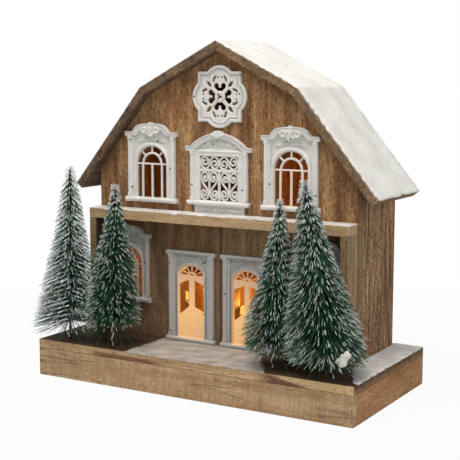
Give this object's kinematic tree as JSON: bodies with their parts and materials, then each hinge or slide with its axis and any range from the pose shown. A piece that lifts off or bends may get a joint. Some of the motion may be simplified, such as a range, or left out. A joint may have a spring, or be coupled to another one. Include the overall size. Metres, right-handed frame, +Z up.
{
  "type": "light-up christmas house",
  "caption": "Light-up wooden Christmas house with a gambrel roof, pierced white windows and doors, bottle-brush trees, and a plinth that hides a battery box with a slide switch.",
  "frame": {"origin": "middle of the whole footprint, trees included, at the height of the surface that the plinth stands on", "axes": "+X to the viewer's right along the front, +Y from the front to the back, +Z up"},
  "size_m": [0.3553, 0.1812, 0.3263],
  "materials": {
    "stained_board": "brown stain with rough grain",
    "porch_board": "olive-tan stain",
    "plinth_board": "light brown stain with strong grain",
    "roof_board": "dark stain under artificial snow",
    "white_casting": "moulded, satin white",
    "green_bristle": "green bristles flocked with white at the tips",
    "white_abs": "fine-textured moulding",
    "black_plastic": "satin",
    "steel": "plated",
    "cell_jacket": "printed film over a steel can, left plain",
    "clear_lamp": "clear, lit warm white"
  },
  "bodies": {
    "house": {"back_wall": "stained_board", "base_back_board": "plinth_board", "base_front_board": "plinth_board", "base_left_board": "plinth_board", "base_right_board": "plinth_board", "base_top_board": "plinth_board", "battery_case": "white_abs", "case_screw_front": "steel", "case_screw_rear": "steel", "cell_1": "cell_jacket", "cell_2": "cell_jacket", "cell_3": "cell_jacket", "door_left": "white_casting", "door_right": "white_casting", "facade_lower_left": "stained_board", "facade_lower_right": "stained_board", "facade_upper": "stained_board", "grille": "white_casting", "lamp_lead": "white_abs", "lamp_lower_left": "clear_lamp", "lamp_lower_right": "clear_lamp", "lamp_upper": "clear_lamp", "left_wall": "stained_board", "nub_plate_1": "steel", "nub_plate_2": "steel", "nub_plate_3": "steel", "porch_left_panel": "porch_board", "porch_right_panel": "porch_board", "porch_shelf": "porch_board", "right_wall": "stained_board", "roof_left_lower": "roof_board", "roof_left_upper": "roof_board", "roof_right_lower": "roof_board", "roof_right_upper": "roof_board", "rosette": "white_casting", "spring_1": "steel", "spring_2": "steel", "spring_3": "steel", "spring_plate_1": "steel", "spring_plate_2": "steel", "spring_plate_3": "steel", "tree_far_left": "green_bristle", "tree_far_right": "green_bristle", "tree_left": "green_bristle", "tree_right": "green_bristle", "window_lower_left": "white_casting", "window_lower_right": "white_casting", "window_upper_left": "white_casting", "window_upper_right": "white_casting"},
    "cover": {"battery_cover": "white_abs"},
    "switch": {"switch_knob": "black_plastic"}
  },
  "joints": [
    {"name": "cover_slide", "type": "slide", "parent": "house", "child": "cover", "axis": [1, 0, 0], "range_m": [0, 0.064]},
    {"name": "switch_slide", "type": "slide", "parent": "house", "child": "switch", "axis": [-1, 0, 0], "range_m": [0, 0.003]}
  ]
}
